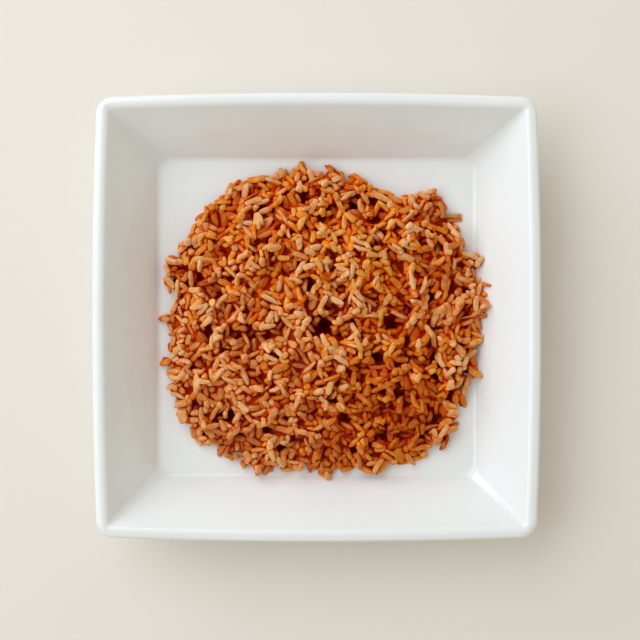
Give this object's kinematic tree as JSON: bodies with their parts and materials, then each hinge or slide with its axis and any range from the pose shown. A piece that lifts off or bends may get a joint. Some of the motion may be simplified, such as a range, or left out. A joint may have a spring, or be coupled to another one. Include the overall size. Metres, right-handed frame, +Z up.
{
  "type": "fried rice",
  "caption": "Low uneven heap of brown fried rice, lying on the flat floor of a deep square white porcelain dish with sloped walls, a narrow level lip and a foot ring.",
  "frame": {"origin": "centre of the dish's foot, on the table", "axes": "+Z up; the dish's four sides face +X, +Y, -X and -Y, with +Y the side at the picture's top and +X the side at its right"},
  "size_m": [0.23, 0.23, 0.0345],
  "materials": {
    "porcelain": "glazed white porcelain, glossy",
    "cooked_rice": "oily cooked rice grains, orange brown, slightly moist"
  },
  "bodies": {
    "root": {"square_dish": "porcelain", "fried_rice": "cooked_rice"}
  },
  "joints": []
}
